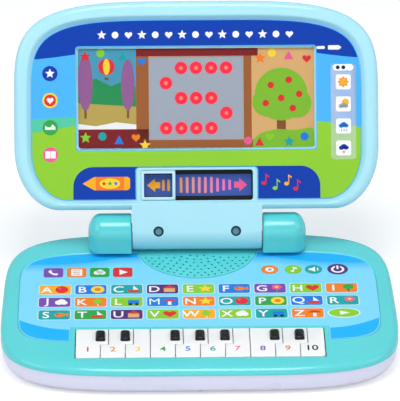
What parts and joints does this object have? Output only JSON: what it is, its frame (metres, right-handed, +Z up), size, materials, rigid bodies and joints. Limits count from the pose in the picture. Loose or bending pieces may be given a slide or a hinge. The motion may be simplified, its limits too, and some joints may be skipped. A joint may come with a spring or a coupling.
{
  "type": "toy laptop computer",
  "caption": "Toy laptop with a hinged lid, a dot display behind a clear window, a sliding swipe frame, a printed keypad and sprung piano keys.",
  "frame": {"origin": "on the table, under the middle of the bounding box with the lid open", "axes": "+Z up, +X to the user's right along the hinge, +Y to the back, away from the user"},
  "size_m": [0.2998, 0.2584, 0.2157],
  "materials": {
    "teal_casing": "satin moulded plastic",
    "lilac_casing": "satin moulded plastic",
    "lid_casing": "satin moulded plastic",
    "printed_overlay": "printed film",
    "membrane": "clear film with printed tracks",
    "printed_label": "printed film",
    "window": "clear moulded plastic",
    "printed_card": "printed card",
    "diffuser": "smoked film",
    "reflector": "white moulded plastic",
    "circuit_board": "lacquered board",
    "components": "epoxy and plastic cases",
    "led": "tinted clear plastic",
    "screw_steel": "plated steel",
    "spring_steel": "plated steel",
    "magnet": "sintered",
    "cone_paper": "pressed paper",
    "cell": "wrapped cell",
    "silicone": "matt silicone",
    "rubber": "matt rubber",
    "cable_jacket": "soft jacket",
    "pin_plastic": "moulded acetal",
    "black_plastic": "satin moulded plastic",
    "slider_plastic": "satin moulded plastic",
    "key_white": "polished moulded plastic",
    "key_black": "polished moulded plastic"
  },
  "bodies": {
    "base": {"bottom_shell": "lilac_casing", "top_casing": "teal_casing", "keypad_overlay": "printed_overlay", "switch_membrane": "membrane", "battery_door": "lilac_casing", "battery_door_screw": "screw_steel", "casing_screws": "screw_steel", "rubber_feet": "rubber", "main_board": "circuit_board", "board_components": "components", "board_screws": "screw_steel", "speaker_frame": "spring_steel", "speaker_cone": "cone_paper", "speaker_magnet": "magnet", "speaker_screws": "screw_steel", "batteries": "cell", "battery_springs": "spring_steel", "battery_plates": "spring_steel", "key_pivot_rod": "spring_steel", "key_board": "circuit_board", "key_board_screws": "screw_steel", "key_dome_strip": "silicone", "friction_rings": "spring_steel", "base_cable": "cable_jacket"},
    "lid": {"lid_bezel": "lid_casing", "lid_back": "lid_casing", "lid_label": "printed_label", "screen_lens": "window", "swipe_tray": "black_plastic", "screen_card": "printed_card", "led_diffuser": "diffuser", "led_reflector": "reflector", "led_board": "circuit_board", "led_board_screws": "screw_steel", "leds": "led", "swipe_strip": "printed_card", "hinge_pins": "pin_plastic", "hinge_screws": "screw_steel", "lid_screws": "screw_steel", "lid_cable": "cable_jacket"},
    "swipe_slider": {"swipe_frame": "slider_plastic", "swipe_lens": "window"},
    "piano_key_1": {"white_key_1": "key_white", "black_key_1": "key_black"},
    "piano_key_2": {"white_key_2": "key_white", "black_key_2": "key_black"},
    "piano_key_3": {"white_key_3": "key_white"},
    "piano_key_4": {"white_key_4": "key_white", "black_key_3": "key_black"},
    "piano_key_5": {"white_key_5": "key_white", "black_key_4": "key_black"},
    "piano_key_6": {"white_key_6": "key_white", "black_key_5": "key_black"},
    "piano_key_7": {"white_key_7": "key_white"},
    "piano_key_8": {"white_key_8": "key_white", "black_key_6": "key_black"},
    "piano_key_9": {"white_key_9": "key_white", "black_key_7": "key_black"},
    "piano_key_10": {"white_key_10": "key_white"}
  },
  "joints": [
    {"name": "lid_hinge", "type": "hinge", "parent": "base", "child": "lid", "pos_m": [0, 0.04874, 0.04998], "axis": [1, 0, 0], "range_deg": [0, 119.4]},
    {"name": "swipe_slide", "type": "slide", "parent": "lid", "child": "swipe_slider", "axis": [1, 0, 0], "range_m": [0, 0.06]},
    {"name": "key_1_press", "type": "hinge", "parent": "base", "child": "piano_key_1", "pos_m": [0, -0.05752, 0.0212], "axis": [1, 0, 0], "range_deg": [0, 2.6], "stiffness_Nm_per_rad": 0.36, "springref_deg": -2.58, "deforming": ["key_dome_strip"]},
    {"name": "key_2_press", "type": "hinge", "parent": "base", "child": "piano_key_2", "pos_m": [0, -0.05752, 0.0212], "axis": [1, 0, 0], "range_deg": [0, 2.6], "stiffness_Nm_per_rad": 0.36, "springref_deg": -2.58, "deforming": ["key_dome_strip"]},
    {"name": "key_3_press", "type": "hinge", "parent": "base", "child": "piano_key_3", "pos_m": [0, -0.05752, 0.0212], "axis": [1, 0, 0], "range_deg": [0, 2.6], "stiffness_Nm_per_rad": 0.36, "springref_deg": -2.58, "deforming": ["key_dome_strip"]},
    {"name": "key_4_press", "type": "hinge", "parent": "base", "child": "piano_key_4", "pos_m": [0, -0.05752, 0.0212], "axis": [1, 0, 0], "range_deg": [0, 2.6], "stiffness_Nm_per_rad": 0.36, "springref_deg": -2.58, "deforming": ["key_dome_strip"]},
    {"name": "key_5_press", "type": "hinge", "parent": "base", "child": "piano_key_5", "pos_m": [0, -0.05752, 0.0212], "axis": [1, 0, 0], "range_deg": [0, 2.6], "stiffness_Nm_per_rad": 0.36, "springref_deg": -2.58, "deforming": ["key_dome_strip"]},
    {"name": "key_6_press", "type": "hinge", "parent": "base", "child": "piano_key_6", "pos_m": [0, -0.05752, 0.0212], "axis": [1, 0, 0], "range_deg": [0, 2.6], "stiffness_Nm_per_rad": 0.36, "springref_deg": -2.58, "deforming": ["key_dome_strip"]},
    {"name": "key_7_press", "type": "hinge", "parent": "base", "child": "piano_key_7", "pos_m": [0, -0.05752, 0.0212], "axis": [1, 0, 0], "range_deg": [0, 2.6], "stiffness_Nm_per_rad": 0.36, "springref_deg": -2.58, "deforming": ["key_dome_strip"]},
    {"name": "key_8_press", "type": "hinge", "parent": "base", "child": "piano_key_8", "pos_m": [0, -0.05752, 0.0212], "axis": [1, 0, 0], "range_deg": [0, 2.6], "stiffness_Nm_per_rad": 0.36, "springref_deg": -2.58, "deforming": ["key_dome_strip"]},
    {"name": "key_9_press", "type": "hinge", "parent": "base", "child": "piano_key_9", "pos_m": [0, -0.05752, 0.0212], "axis": [1, 0, 0], "range_deg": [0, 2.6], "stiffness_Nm_per_rad": 0.36, "springref_deg": -2.58, "deforming": ["key_dome_strip"]},
    {"name": "key_10_press", "type": "hinge", "parent": "base", "child": "piano_key_10", "pos_m": [0, -0.05752, 0.0212], "axis": [1, 0, 0], "range_deg": [0, 2.6], "stiffness_Nm_per_rad": 0.36, "springref_deg": -2.58, "deforming": ["key_dome_strip"]}
  ]
}
